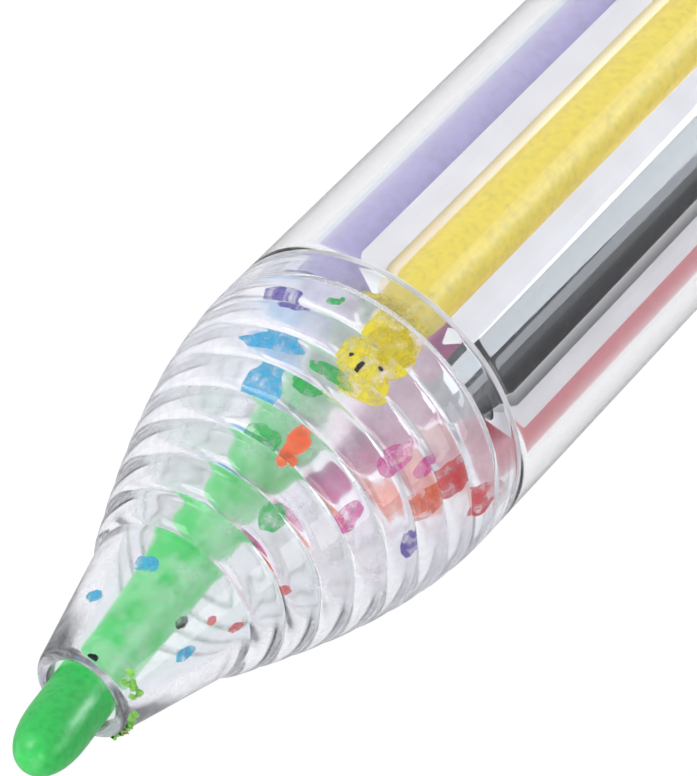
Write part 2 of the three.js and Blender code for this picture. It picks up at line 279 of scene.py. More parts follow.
# Wax: mottled, a little translucent, softly dented and grained. A thin smear has gaps.
def waxMaterial(name, colour, gloss, roughness=0.32, thin=False):
    material, nodes, links, shader, place = newMaterial(name)
    deep = tuple(c * 0.86 for c in colour)
    light = tuple(min(1, c * 1.08 + 0.006) for c in colour)
    mottle = noiseAt(nodes, links, place, 1.6, detail=5)
    tones = [(0.3, deep), (0.5, colour), (0.75, light)]
    links.new(rampOf(nodes, links, mottle, tones), shader.inputs["Base Color"])
    shader.inputs["Roughness"].default_value = roughness
    shader.inputs["Specular IOR Level"].default_value = gloss
    shader.inputs["Subsurface Weight"].default_value = 0.3
    shader.inputs["Subsurface Radius"].default_value = (1, 1, 1)
    shader.inputs["Subsurface Scale"].default_value = 0.0016
    grain = noiseAt(nodes, links, place, 3.0, detail=6, roughness=0.6)
    soft = noiseAt(nodes, links, place, 0.45, detail=2)
    first = bumpOf(nodes, links, soft, 0.35, 0.25)
    links.new(bumpOf(nodes, links, grain, 0.25, 0.04, first), shader.inputs["Normal"])
    if thin:
        cover = noiseAt(nodes, links, place, 0.9, detail=7, roughness=0.7)
        gaps = [(0.36, (0.05,) * 3), (0.6, (0.95,) * 3)]
        links.new(rampOf(nodes, links, cover, gaps), shader.inputs["Alpha"])
    return material


# Moulded plastic: one colour that wanders by a few per cent, with a fine grain
def mouldedPlastic(name, colour, roughness):
    material, nodes, links, shader, place = newMaterial(name)
    tone = noiseAt(nodes, links, place, 0.2, detail=3)
    dark = tuple(c * 0.93 for c in colour)
    links.new(rampOf(nodes, links, tone, [(0.35, dark), (0.65, colour)]), shader.inputs["Base Color"])
    shader.inputs["Roughness"].default_value = roughness
    fine = noiseAt(nodes, links, place, 4.0, detail=4)
    links.new(bumpOf(nodes, links, fine, 0.08, 0.02), shader.inputs["Normal"])
    return material


# Painted light: the white core glows though it is no lamp, to brighten its shaded channels in place of light
# bounced into them. The glow grows inwards from its outer faces, strength * (outer - radius) / (outer -
# inner)
def makePaintedGlowCore(colour, roughness, glow):
    material = mouldedPlastic("white_core_painted_glow", colour, roughness)
    nodes, links = material.node_tree.nodes, material.node_tree.links
    place = nodes.new("ShaderNodeTexCoord")
    flat = nodes.new("ShaderNodeVectorMath")
    flat.operation = "MULTIPLY"
    flat.inputs[1].default_value = (1, 1, 0)
    radius = nodes.new("ShaderNodeVectorMath")
    radius.operation = "LENGTH"
    links.new(place.outputs["Object"], flat.inputs[0])
    links.new(flat.outputs["Vector"], radius.inputs[0])
    paintedChannelGlow = rangeOf(nodes, links, radius.outputs["Value"], glow["radii"], (glow["strength"], 0))
    shader = nodes["Principled BSDF"]
    shader.inputs["Emission Color"].default_value = (1, 1, 1, 1)
    links.new(paintedChannelGlow, shader.inputs["Emission Strength"])
    return material


clearBarrelSkin = clearPlastic("clear_barrel_skin", (0.965, 0.965, 0.985), (0.03, 0.1), 0.01)
clearNoseSkin = clearPlastic("clear_nose_skin", (0.932, 0.937, 0.985), (0.03, 0.08), 0.02)
noseCloud = {"heights": (0.124, 0.14), "milk": 0.42}
edgeCloud = {"heights": (0.2, 0.3), "milk": 0.6}  # above the pen, so its edges are milky all over
clearNoseInside = clearPlastic(
    "clear_nose_inside", (0.94, 0.94, 0.98), (0.1, 0.2), 0.9, milk=0.34, cloud=noseCloud,
)
clearEdgeSkin = clearPlastic(
    "clear_edge_skin", (0.95, 0.95, 0.98), (0.3, 0.4), 0.01, milk=0.9, cloud=edgeCloud,
)
whiteMoulding = mouldedPlastic("white_moulding", (0.82, 0.82, 0.835), 0.45)
# the core's white plastic carries painted light, an emission that brightens its channels where they lie in
# shade
whiteCorePaintedGlow = makePaintedGlowCore((0.82, 0.82, 0.835), 0.45, {"radii": (0.0096, 0.0112), "strength": 0.5})
coloured = [name for name in colours if name != "black"]
waxes = {name: waxMaterial(f"{name}_wax_skin", colours[name]["wax"], 0.55) for name in coloured}
waxes["black"] = waxMaterial("black_wax_skin", colours["black"]["wax"], 0.14, roughness=0.48)
smears = {name: waxMaterial(f"{name}_smear_skin", c["smear"], 0.3, thin=True) for name, c in colours.items()}
plastics = {name: mouldedPlastic(f"{name}_moulding", c["plastic"], 0.3) for name, c in colours.items()}
print("materials made")

view = {
    "facing": math.radians(-106), "fromAxis": math.radians(50.87), "roll": math.radians(-135.4),
    "distance": 420.0, "aim": (0.085, -6.292, 122.593), "fieldOfView": math.radians(7.3057),
}


# The camera stands on a cone round the pen's axis, at aim - forward * distance, and is rolled so that
# the nose points lower left
def makeCamera():
    level = np.array([-math.cos(view["facing"]), -math.sin(view["facing"]), 0])
    axis = np.array([0, 0, 1.0])
    forward = level * math.sin(view["fromAxis"]) - axis * math.cos(view["fromAxis"])
    upright = level * math.cos(view["fromAxis"]) + axis * math.sin(view["fromAxis"])
    side = np.cross(forward, upright)
    c, s = math.cos(view["roll"]), math.sin(view["roll"])
    right, up = side * c + upright * s, upright * c - side * s
    place = np.array(view["aim"]) - forward * view["distance"]
    data = bpy.data.cameras.new("camera")
    data.sensor_fit = "HORIZONTAL"
    data.angle_x = view["fieldOfView"]
    data.clip_start = 0.01
    data.clip_end = 20
    camera = bpy.data.objects.new("camera", data)
    matrix = np.eye(4)
    matrix[:3, 0], matrix[:3, 1], matrix[:3, 2], matrix[:3, 3] = right, up, -forward, place * mm
    camera.matrix_world = Matrix(matrix.tolist())
    bpy.context.scene.collection.objects.link(camera)
    bpy.context.scene.camera = camera
    return forward


forward = makeCamera()
print("camera set")

barrel = {"slotEnd": 63.35, "columns": 22, "edge": 0.12, "slotRows": 40, "upperRows": 50}


# Eight panels between the slots. A panel's angle runs from one slot's edge to the next, and a slot
# narrows to nothing over its round end, so the panels meet above it and make one tube.
def barrelShell():
    bottom, seam, lipTop = pen["barrelBottom"], pen["seam"], pen["seam"] + pen["lap"]
    outer, bore, lip = pen["barrelRadius"], pen["boreRadius"], pen["lipRadius"]
    edge, half, end = barrel["edge"], pen["slotHalf"], barrel["slotEnd"]
    arc = np.linspace(0, np.pi / 2, 12)
    straight = np.linspace(bottom + 1, end - 0.5, barrel["slotRows"])
    slotRows = np.concatenate([[bottom + edge], straight, end + half * np.sin(arc)])
    slotHalf = np.concatenate([np.full(barrel["slotRows"] + 1, half), half * np.cos(arc)])
    slotHalf[-1] = 0
    upper = np.linspace(end + half + 1, seam - 1, barrel["upperRows"])
    outside = [(outer - edge, bottom, half)]
    outside += [(outer, z, h) for z, h in zip(slotRows, slotHalf)]
    outside += [(outer, z, 0) for z in upper]
    outside += [(outer, seam - edge, 0), (outer - edge * 0.3, seam - edge * 0.3, 0), (outer - edge, seam, 0)]
    outside += [(lip, seam, 0), (lip, seam + 0.9, 0), (lip, seam + 1.8, 0)]
    outside += [(lip, lipTop - edge, 0), (lip - edge, lipTop, 0)]
    inside = [(bore, lipTop, 0), (bore, seam, 0)]
    inside += [(bore, z, 0) for z in upper[::-1]]
    inside += [(bore, z, h) for z, h in zip(slotRows[::-1], slotHalf[::-1])]
    inside += [(bore, bottom, half)]
    outline = np.array(outside + inside)
    radius, height, gap = outline[:, :1], outline[:, 1:2], outline[:, 2:]
    step = np.arange(barrel["columns"] + 1)[None, :] / barrel["columns"]
    slotAngle = np.arcsin(gap / radius)
    across = slotAngle + (sector - 2 * slotAngle) * step
    points, faces = [], []
    rows, columns = across.shape
    slotCount = len(slotRows) + 1
    outRows = np.arange(slotCount)
    inRows = rows - 1 - np.arange(slotCount)
    for panel in range(stations):
        start = panel * rows * columns
        points.append(polarPoints(radius, across + panel * sector, height))
        faces.append(gridFaces(rows, columns, wrapRows=True, start=start))
        for column in (0, columns - 1):
            a, b = start + outRows * columns + column, start + inRows * columns + column
            faces.append(np.stack([a[:-1], a[1:], b[1:], b[:-1]], -1))
    return np.vstack(points), faces


# The end faces of the barrel's step and lap, which glow milky on clear plastic
def barrelEnds(radius, z):
    step = (abs(z - pen["seam"]) < 0.1) & (radius > pen["lipRadius"])
    return step | (z > pen["seam"] + pen["lap"] - 0.11)


tube = makePiece(
    "clear_barrel", barrelShell(), clearBarrelSkin, "housing", ["barrel"], weld=True,
)
addSkin(tube, clearEdgeSkin, barrelEnds)
print("barrel made")

nose = {
    "length": 39.0, "rimRadius": 4.05, "rimEdge": 0.4, "holeRadius": 3.05, "land": 1.2, "wall": 1.3,
    "smoothLength": 12.0, "smoothEndRadius": 7.05, "shoulder": 3.0,
    "ribs": 8, "groove": 0.18, "ribHeight": 0.35,
    "startRise": 0.42, "endRise": 0.03, "sides": 144, "rowsPerRib": 14,
}


# A straight taper, then a cubic curve that starts at one slope and ends at another
def noseRadius(behind):
    curve = nose["length"] - nose["shoulder"] - nose["smoothLength"]
    t = np.clip((behind - nose["smoothLength"]) / curve, 0, 1)
    shoulder = pen["barrelRadius"] - nose["ribHeight"]
    bent = (
        (2 * t**3 - 3 * t**2 + 1) * nose["smoothEndRadius"]
        + (t**3 - 2 * t**2 + t) * nose["startRise"] * curve
        + (3 * t**2 - 2 * t**3) * shoulder
        + (t**3 - t**2) * nose["endRise"] * curve
    )
    taper = nose["rimRadius"] + (nose["smoothEndRadius"] - nose["rimRadius"]) * behind / nose["smoothLength"]
    return np.where(behind <= nose["smoothLength"], taper, bent)


# The nose's profile, turned. A rib stands off its groove by relief * (1 - s^4)^0.5, where s runs from
# -1 to 1 across it, and the inner wall keeps one thickness behind the smooth outer line.
def noseShell():
    length, front, rows = nose["length"], pen["noseFront"], nose["rowsPerRib"]
    pitch = (length - nose["shoulder"] - nose["smoothLength"]) / nose["ribs"]
    socketDepth = length - pen["lap"] - 0.2
    outside = [(length, pen["barrelRadius"] - 0.1), (length - 0.1, pen["barrelRadius"])]
    shoulder = np.linspace(length - 0.6, length - nose["shoulder"] + 0.1, 8)
    outside += [(back, pen["barrelRadius"]) for back in shoulder]
    for rib in range(nose["ribs"], 0, -1):
        back = nose["smoothLength"] + rib * pitch
        share = (1 - np.cos(np.linspace(0, np.pi, rows, endpoint=False))) / 2
        at = back - share * pitch
        relief = nose["ribHeight"] + nose["groove"]
        outside += list(zip(at, noseRadius(at) - nose["groove"] + relief * np.sqrt(1 - (2 * share - 1) ** 4)))
    at = np.linspace(nose["smoothLength"], 0.5, 14)
    outside += list(zip(at, noseRadius(at)))
    rim, rimEdge, hole = nose["rimRadius"], nose["rimEdge"], nose["holeRadius"]
    rimArc = np.linspace(0, np.pi / 2, 6)[1:]
    outside += [(rimEdge * (1 - math.sin(a)), rim - rimEdge + (rimEdge + 0.06) * math.cos(a)) for a in rimArc]
    inside = [(0, hole + 0.12), (0.12, hole), (nose["land"], hole)]
    at = np.concatenate([np.linspace(0.2, 0.45, 10), np.linspace(0.5, 1, 28)]) * socketDepth
    inside += list(zip(at, noseRadius(at) - nose["wall"]))
    inside += [(back, pen["socketRadius"]) for back in (socketDepth, length - 1.4, length)]
    outline = [(radius, front - behind) for behind, radius in outside + inside]
    return turnedShell(outline, nose["sides"], closed=True)


# The nose's inner face ahead of the lap: whatever lies deeper than half the wall
def noseInside(radius, z):
    middle = noseRadius(pen["noseFront"] - z) - nose["wall"] / 2
    return (radius < middle) & (z > pen["seam"] + pen["lap"] + 0.3)


cone = makePiece(
    "clear_nose", noseShell(), clearNoseSkin, "housing", ["nose_cone"], sharp=50,
)
addSkin(cone, clearNoseInside, noseInside)
addSkin(cone, clearEdgeSkin, lambda radius, z: z < pen["noseBottom"] + 0.02)
print("nose made")

crayon = {
    "sides": 64, "bodyRows": 60, "bullet": 5.4, "fullness": 2.4, "bevel": 0.15,
    "shankRadius": 1.7, "shankLength": 6.0,
}


# A thin shank, a straight body and a bullet: its radius r and length s obey |r|^n + |s|^n = 1
def crayonShell():
    start, tip, radius = pen["crayonStart"], pen["tipFromPin"], pen["crayonRadius"]
    foot, shank, bevel = pen["holderMouth"] - crayon["shankLength"], crayon["shankRadius"], crayon["bevel"]
    outline = [(0, foot), (shank, foot), (shank, start), (radius - bevel, start), (radius, start + bevel)]
    outline += [(radius, z) for z in np.linspace(start + 1, tip - crayon["bullet"], crayon["bodyRows"])]
    share = np.sin(np.linspace(0, np.pi / 2, 26))[1:-1]
    n = crayon["fullness"]
    outline += [(radius * (1 - s**n) ** (1 / n), tip - crayon["bullet"] * (1 - s)) for s in share]
    outline.append((0, tip))
    return turnedShell(outline, crayon["sides"])


holder = {
    "wall": 0.6, "floor": 1.0, "eye": 3.1, "pin": 1.1, "neck": 1.6, "gap": 0.3, "sides": 48,
    "grooveFrom": 2.4, "grooveTo": 1.8, "groove": 0.12,
}


# A cheek of the fork: flat inside, as round as the crayon outside, y = (radius^2 - x^2)^0.5, and with
# a half-round back, x = (back^2 - z^2)^0.5
def cheekShell(side):
    half = holder["neck"] / 2 + holder["gap"]
    back, reach = holder["eye"] / 2 + 0.2, holder["eye"] / 2 + holder["gap"] + 0.2
    rounded = -back * np.cos(np.linspace(0.15, np.pi / 2, 10))
    z = np.concatenate([rounded, np.linspace(0.3, reach, 6)])[:, None]
    reachAcross = np.sqrt(np.maximum(back**2 - np.minimum(z, 0) ** 2, 0))
    u = np.linspace(-1, 1, 17)[None, :]
    x = reachAcross * u
    outer = np.sqrt(pen["crayonRadius"] ** 2 - x**2)
    rows, columns = x.shape
    zz = np.broadcast_to(z, x.shape)
    far = np.stack([x, side * outer, zz], -1).reshape(-1, 3)
    near = np.stack([x, np.full_like(x, side * half), zz], -1).reshape(-1, 3)
    count = rows * columns
    index = np.arange(count).reshape(rows, columns)
    rim = np.concatenate([index[0, :-1], index[:-1, -1], index[-1, :0:-1], index[:0:-1, 0]])
    after = np.roll(rim, -1)
    walls = np.stack([rim, after, after + count, rim + count], -1)
    return np.vstack([far, near]), [gridFaces(rows, columns), gridFaces(rows, columns, start=count), walls]


# The pin across the fork: a short rod along Y with its edges broken by 0.05
def pinShell():
    radius, half = holder["pin"] / 2, (holder["neck"] + 2 * holder["gap"] + 1) / 2
    outline = [(0, -half), (radius - 0.05, -half), (radius, -half + 0.05)]
    outline += [(radius, half - 0.05), (radius - 0.05, half), (0, half)]
    points, faces = turnedShell(outline, 20)
    return points @ turn("x", np.pi / 2).T, faces


# The cup with a shallow groove round its mouth, the fork's two cheeks and the pin
def holderShell():
    mouth, radius, groove = pen["holderMouth"], pen["crayonRadius"], holder["groove"]
    inner, reach = radius - holder["wall"], holder["eye"] / 2 + holder["gap"]
    floor, low, high = reach + holder["floor"], mouth - holder["grooveFrom"], mouth - holder["grooveTo"]
    cup = [(0, reach), (radius - groove, reach), (radius, reach + groove)]
    cup += [(radius, low), (radius - groove, low + 0.1), (radius - groove, high - 0.1), (radius, high)]
    cup += [(radius, mouth - 0.15), (radius - 0.1, mouth), (inner, mouth), (inner, floor), (0, floor)]
    return joinShells([turnedShell(cup, holder["sides"]), cheekShell(1), cheekShell(-1), pinShell()])


# Widths, depths or heights, and lengths in mm, and the thumb piece's grip
slide = {
    "shoe": (5.4, 3.3, 10.0), "stem": (2.8, 9.0), "thumb": (6.6, 2.9, 14.5), "ridges": 4, "ridge": 0.6,
    "ridgedShare": 0.72, "fullness": 4.5, "neckThickness": 1.4, "gap": 0.3,
}


# A block between two corners whose edges are rounded: each face of a unit cube is a grid that is
# pushed out to the block's size, and the outer band follows a quarter circle
def blockShell(low, high, bevel, steps=4):
    low, high = np.array(low, float), np.array(high, float)
    half, mid = (high - low) / 2, (high + low) / 2
    bevel = min(bevel, half.min() * 0.98)
    quarter = np.tan(np.linspace(-np.pi / 4, np.pi / 4, steps + 1))
    points, faces, start = [], [], 0
    line = np.concatenate([quarter[: steps // 2 + 1], quarter[steps // 2 :]])
    shift = np.concatenate([-np.ones(steps // 2 + 1), np.ones(steps - steps // 2 + 1)])
    u, v = np.meshgrid(line, line, indexing="ij")
    su, sv = np.meshgrid(shift, shift, indexing="ij")
    for axis in range(3):
        for sign in (-1, 1):
            ray = np.zeros(u.shape + (3,))
            corner = np.zeros(u.shape + (3,))
            a, b = (axis + 1) % 3, (axis + 2) % 3
            ray[..., axis], ray[..., a], ray[..., b] = sign, u, v
            corner[..., axis], corner[..., a], corner[..., b] = sign, su, sv
            ray /= np.linalg.norm(ray, axis=-1, keepdims=True)
            place = corner * (half - bevel) + ray * bevel + mid
            points.append(place.reshape(-1, 3))
            quads = gridFaces(len(line), len(line), start=start)
            faces.append(quads if sign > 0 else quads[:, ::-1])
            start += place.size // 3
    return np.vstack(points), faces


# The thumb piece: its height along the pen is an arch, (1 - |t|^7)^0.35, with ridges of (sin^2)^0.7 on
# it, and each cross-section is a rounded rectangle, |x|^n + |y|^n = 1 with n its fullness
def thumbShell(foot, middle):
    width, height, length = slide["thumb"]
    ridge, ridges, zone = slide["ridge"], slide["ridges"], slide["ridgedShare"]
    t = np.linspace(-1, 1, 121)
    arch = (height - ridge) * (1 - np.abs(t) ** 7) ** 0.35
    inZone = np.clip((t + zone) / (2 * zone), 0, 1)
    bumps = np.sin(np.pi * inZone * ridges) ** 2 * (np.abs(t) < zone)
    rise = np.maximum(arch + ridge * bumps**0.7, 0.25)
    side = np.maximum(width / 2 * (1 - np.abs(t) ** 9) ** 0.3, 0.4)
    angle = np.linspace(0, tau, 56, endpoint=False)
    power = 2 / slide["fullness"]
    up = np.sign(np.sin(angle)) * np.abs(np.sin(angle)) ** power
    across = np.sign(np.cos(angle)) * np.abs(np.cos(angle)) ** power
    x = foot + rise[:, None] * (1 + up) / 2
    y = side[:, None] * across
    z = np.broadcast_to((middle + t * length / 2)[:, None], x.shape)
    points = np.stack([x, y, z], -1).reshape(-1, 3)
    rows, columns = x.shape
    ends = np.array([[foot + rise[0] / 2, 0, z[0, 0]], [foot + rise[-1] / 2, 0, z[-1, 0]]])
    bottom, count = np.arange(columns), len(points)
    faces = [gridFaces(rows, columns, wrapColumns=True), fanFaces(bottom, count, reverse=True)]
    faces.append(fanFaces(bottom + count - columns, count + 1))
    return np.vstack([points, ends]), faces


# The snap eye at the end of the neck: a flat ring whose profile is turned about Y
def eyeShell(z):
    outer, inner, half = holder["eye"] / 2, holder["pin"] / 2 + holder["gap"], holder["neck"] / 2
    ring = [(outer, -half + 0.1), (outer, half - 0.1), (outer - 0.1, half), (inner + 0.1, half)]
    ring += [(inner, half - 0.1), (inner, -half + 0.1), (inner + 0.1, -half), (outer - 0.1, -half)]
    points, faces = turnedShell(ring, 40, closed=True)
    return points @ turn("x", np.pi / 2).T + np.array([pen["ringRadius"], 0, z]), faces


# Shoe inside the bore, stem through the slot, neck along the ring of crayons, eye and thumb piece
def slideShell():
    bottom = pen["shoeBottom"]
    shoeWidth, shoeDepth, shoeLength = slide["shoe"]
    stemWidth, stemLength = slide["stem"]
    shoeOuter = math.sqrt((pen["boreRadius"] - slide["gap"]) ** 2 - (shoeWidth / 2) ** 2)
    foot = pen["barrelRadius"] + slide["gap"]
    ring, half, neckHalf = pen["ringRadius"], slide["neckThickness"] / 2, holder["neck"] / 2
    shoeTop, stemTop = bottom + shoeLength, bottom + stemLength
    shoeSide, stemSide, neckTop = shoeWidth / 2, stemWidth / 2, pen["parkedPin"] - 1.2
    shoe = blockShell((shoeOuter - shoeDepth, -shoeSide, bottom), (shoeOuter, shoeSide, shoeTop), 0.35)
    stem = blockShell((shoeOuter - 1, -stemSide, bottom), (foot + 1, stemSide, stemTop), 0.25)
    neck = blockShell((ring - half, -neckHalf, shoeTop - 1), (ring + half, neckHalf, neckTop), 0.2)
    thumb = thumbShell(foot, bottom + stemLength / 2)
    return joinShells([shoe, stem, neck, eyeShell(pen["parkedPin"]), thumb])


# One colour's crayon, cup and slide at their angle round the pen. The crayon in use is pushed forward
# and leans in about its pin.
def makeStation(name, index):
    used = name == crayonInUse
    push, lean = (pen["push"], pen["lean"]) if used else (0.0, 0.0)
    spin = turn("z", index * sector)
    tilt = turn("y", -lean)
    pin = np.array([pen["ringRadius"], 0, pen["parkedPin"] + push])

    def swung(shell):
        return (shell[0] @ tilt.T + pin) @ spin.T, shell[1]

    def slid(shell):
        return (shell[0] + np.array([0, 0, push])) @ spin.T, shell[1]

    wax, plastic, body, plasticSlot = waxes[name], plastics[name], f"{name}_crayon", f"{name}_plastic"
    makePiece(f"wax_crayon_{name}", swung(crayonShell()), wax, body, [f"crayon_{name}"])
    makePiece(f"crayon_cup_{name}", swung(holderShell()), plastic, body, [f"holder_{name}"])
    makePiece(
        f"thumb_slide_{name}", slid(slideShell()), plastic, f"{name}_slide", [f"slide_{name}"],
        sharp=40, weld=True,
    )


for index, name in enumerate(colours):
    makeStation(name, index)
print("crayons, holders and slides made")

# Crumbs strewn round a place: wax, height and angle, half spread of each, how many, largest half size
clusters = [
    ("lime", 155.3, -137, 0.5, 13, 13, 0.34), ("lime", 155.9, 176, 0.3, 15, 16, 0.3),
    ("red", 155.9, 172, 0.25, 12, 3, 0.22), ("lime", 155.9, 150, 0.3, 10, 7, 0.26),
    ("yellow", 125.6, -97, 0.9, 6, 6, 0.18), ("pink", 126.4, -134, 1.4, 6, 5, 0.16),
]

# Each mark: wax, height and angle on the pen, length along it, width round it, thickness, wall side
marks = [
    # outside, on the rim and the shoulder, and the tall orange flake inside
    ("black", 156.05, -88, 0.3, 0.4, 0.25, "out"),
    ("green", 122.1, -74, 0.35, 0.6, 0.2, "out"), ("green", 121.6, -76, 0.25, 0.25, 0.15, "out"),
    ("orange", 133.2, -96.6, 1.2, 0.8, 0.6, "in"), ("orange", 134.7, -98.3, 0.7, 0.8, 0.5, "in"),
    # specks in the plain front and the front ribs
    ("blue", 149.56, -149.5, 0.9, 0.45, 0.15, "in"), ("blue", 150.47, -39.8, 0.6, 0.6, 0.12, "in"),
    ("blue", 146.85, -69.5, 0.7, 0.9, 0.12, "in"), ("black", 148.68, -124.1, 0.6, 0.35, 0.2, "in"),
    ("red", 146.55, -139.1, 0.45, 0.3, 0.15, "in"), ("red", 144.82, -156.4, 0.7, 0.3, 0.15, "in"),
    ("pink", 133.64, -134.9, 1.1, 0.9, 0.15, "in"), ("purple", 129.64, -162.4, 0.7, 1.2, 0.15, "in"),
    # flakes where the tips come out of the core
    ("yellow", 125.46, -97.1, 2.3, 2.4, 0.2, "in"), ("yellow", 123.2, -103, 1.5, 1.2, 0.2, "in"),
    ("blue", 126.9, -63, 0.75, 2.5, 0.2, "in"), ("green", 127.19, -89.4, 0.6, 1.8, 0.18, "in"),
    ("green", 129.23, -85.1, 0.6, 1.3, 0.18, "in"), ("blue", 130.4, -70, 1.5, 1.6, 0.08, "in"),
    ("orange", 127.21, -150.5, 1.7, 1.2, 0.2, "in"), ("red", 124.26, -148.6, 1.4, 1.5, 0.2, "in"),
    ("pink", 126.17, -137.9, 1.4, 0.6, 0.18, "in"), ("red", 121.65, -166.5, 1.6, 1.4, 0.2, "in"),
    ("black", 125.0, -95, 0.3, 0.2, 0.25, "in"), ("black", 125.9, -98, 0.22, 0.2, 0.25, "in"),
    ("black", 124.3, -101, 0.16, 0.2, 0.25, "in"), ("black", 124.8, -90, 0.14, 0.16, 0.25, "in"),
    # smears that run back from them to the parked tips, and thin ones along the way of the green tip
    ("yellow", 121.3, -97, 1.9, 2.3, 0.2, "in"), ("yellow", 119.3, -93, 1.2, 2.4, 0.2, "in"),
    ("yellow", 121.8, -99, 1.3, 2.0, 0.22, "in"), ("purple", 123.1, -60, 0.4, 1.5, 0.12, "in"),
    ("purple", 119.2, -47, 0.45, 2.1, 0.12, "in"), ("purple", 121.6, -52, 0.4, 1.6, 0.12, "in"),
    ("black", 118.6, -133, 0.9, 2.0, 0.12, "in"), ("black", 119.3, -124, 0.4, 1.0, 0.12, "in"),
    ("yellow", 119.0, -88, 0.6, 2.2, 0.12, "in"), ("red", 118.8, -176, 0.9, 1.7, 0.12, "in"),
    ("pink", 128.3, -128, 1.6, 1.1, 0.1, "in"), ("green", 138.4, -112, 1.2, 1.0, 0.1, "in"),
    ("green", 134.2, -84, 0.9, 1.3, 0.1, "in"), ("red", 140.3, -150, 0.5, 0.4, 0.12, "in"),
]


# Marks spread evenly over a cluster's patch, each of 0.35 to 1 times its largest size
def strewnCrumbs(cluster, seed):
    colour, z, azimuth, spreadAlong, spreadRound, count, largest = cluster
    rng = np.random.default_rng(seed)
    sizes = largest * rng.uniform(0.35, 1, count)
    heights = z + spreadAlong * rng.uniform(-1, 1, count)
    turns = azimuth + spreadRound * rng.uniform(-1, 1, count)
    side = "out" if z > pen["noseFront"] - 2 else "in"
    strewn = []
    for height, around, size in zip(heights, turns, sizes):
        strewn.append((colour, height, around, size, size * rng.uniform(0.7, 1.3), max(size, 0.25), side))
    return strewn


seeds = {"marks": 40, "clusters": 90}
for place, cluster in enumerate(clusters):
    marks += strewnCrumbs(cluster, seeds["clusters"] + place)


# The wall that a mark sits on: the nose's outside, or its inside, which is outside - wall and never
# less than the hole, or the barrel's bore behind it
def wallRadius(z, side):
    outside = noseRadius(pen["noseFront"] - z)
    if side == "out":
        return np.where(z < pen["noseBottom"] + nose["shoulder"], pen["barrelRadius"], outside)
    inside = np.maximum(outside - nose["wall"], nose["holeRadius"])
    return np.where(z < pen["seam"] + pen["lap"] + 0.4, pen["boreRadius"], inside)


# How a mark's outline and face wander, and how far its faces stand off the wall and sink into it
patch = {"rings": 9, "sides": 72, "wander": 0.36, "lump": 0.3, "pitch": 7, "proud": 0.015, "sunk": -0.04}


# A patch in rings round its middle. Its outline is a sum of waves, a cos(k angle + phase) / k^1.1, and
# its free face stands off the wall by thickness * (1 - share^2)^0.5 * lumps.
def markShell(mark, seed):
    colour, z0, azimuth, along, around, thick, side = mark
    rng = np.random.default_rng(seed)
    share = np.linspace(0, 1, patch["rings"])[1:, None]
    angle = (np.arange(patch["sides"]) / patch["sides"] * tau)[None, :]
    edge = np.ones_like(angle)
    for k in range(2, 9):
        wave = rng.uniform(-patch["wander"], patch["wander"]) / k**1.1
        edge = edge + wave * np.cos(k * angle + rng.uniform(0, tau))
    edge = np.maximum(edge, 0.25)
    u, v = share * edge * np.cos(angle) * around, share * edge * np.sin(angle) * along
    lump = np.ones_like(u)
    for _ in range(6):
        tall = rng.uniform(-patch["lump"], patch["lump"])
        pitchU, pitchV = rng.uniform(-patch["pitch"], patch["pitch"], 2)
        lump += tall * np.cos(u * pitchU + v * pitchV + rng.uniform(0, tau))
    rise = thick * np.sqrt(np.maximum(1 - share**2, 0)) * np.maximum(lump, 0.2) + patch["proud"]
    way, heading = (1 if side == "out" else -1), math.radians(azimuth)
    z = np.minimum(z0 + v, pen["noseFront"] - 0.25)
    wall, middleWall = wallRadius(z, side), float(wallRadius(np.array(z0), side))
    free, held = (polarPoints(wall + way * offset, heading + u / wall, z) for offset in (rise, patch["sunk"]))
    middles = middleWall + way * np.array([thick + patch["proud"], patch["sunk"]])
    points = np.vstack([free, held, polarPoints(middles, heading, z0)])
    rows, sides = rise.shape
    count, first = rows * sides, np.arange(sides)
    outer, under = first + count - sides, first + 2 * count - sides
    faces = [gridFaces(rows, sides, wrapColumns=True)]
    faces += [gridFaces(rows, sides, wrapColumns=True, start=count)[:, ::-1]]
    faces += [fanFaces(first, 2 * count, reverse=True), fanFaces(first + count, 2 * count + 1)]
    faces += [np.stack([outer, np.roll(outer, -1), np.roll(under, -1), under], -1)]
    return points, faces


# Marks thinner than this are smears with gaps, the others are solid crumbs
smearThickness = 0.24
crumbs = {**waxes, "lime": waxMaterial("lime_wax_skin", (0.27, 0.74, 0.1), 0.5)}
for name, crumbSkin in crumbs.items():
    for kind, skin, thin in (("crumbs", crumbSkin, False), ("smears", smears.get(name), True)):
        shells = []
        for place, mark in enumerate(marks):
            if mark[0] == name and (mark[5] < smearThickness) == thin:
                shells.append(markShell(mark, seeds["marks"] + place))
        if shells:
            makePiece(f"wax_{kind}_{name}", joinShells(shells), skin, "housing", sharp=60)
print("wax marks made")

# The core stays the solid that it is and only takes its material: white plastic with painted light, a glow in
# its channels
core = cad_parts["crayon_core"]
if not core.material_slots:
    core.data.materials.append(whiteCorePaintedGlow)
for coreSlot in core.material_slots:
    coreSlot.material = whiteCorePaintedGlow

endCap = {
    "edge": 0.8, "spigotRadius": 12.0, "socketRadius": 5.2, "socketFloor": 4.1, "tooth": 3.0, "sides": 128,
}


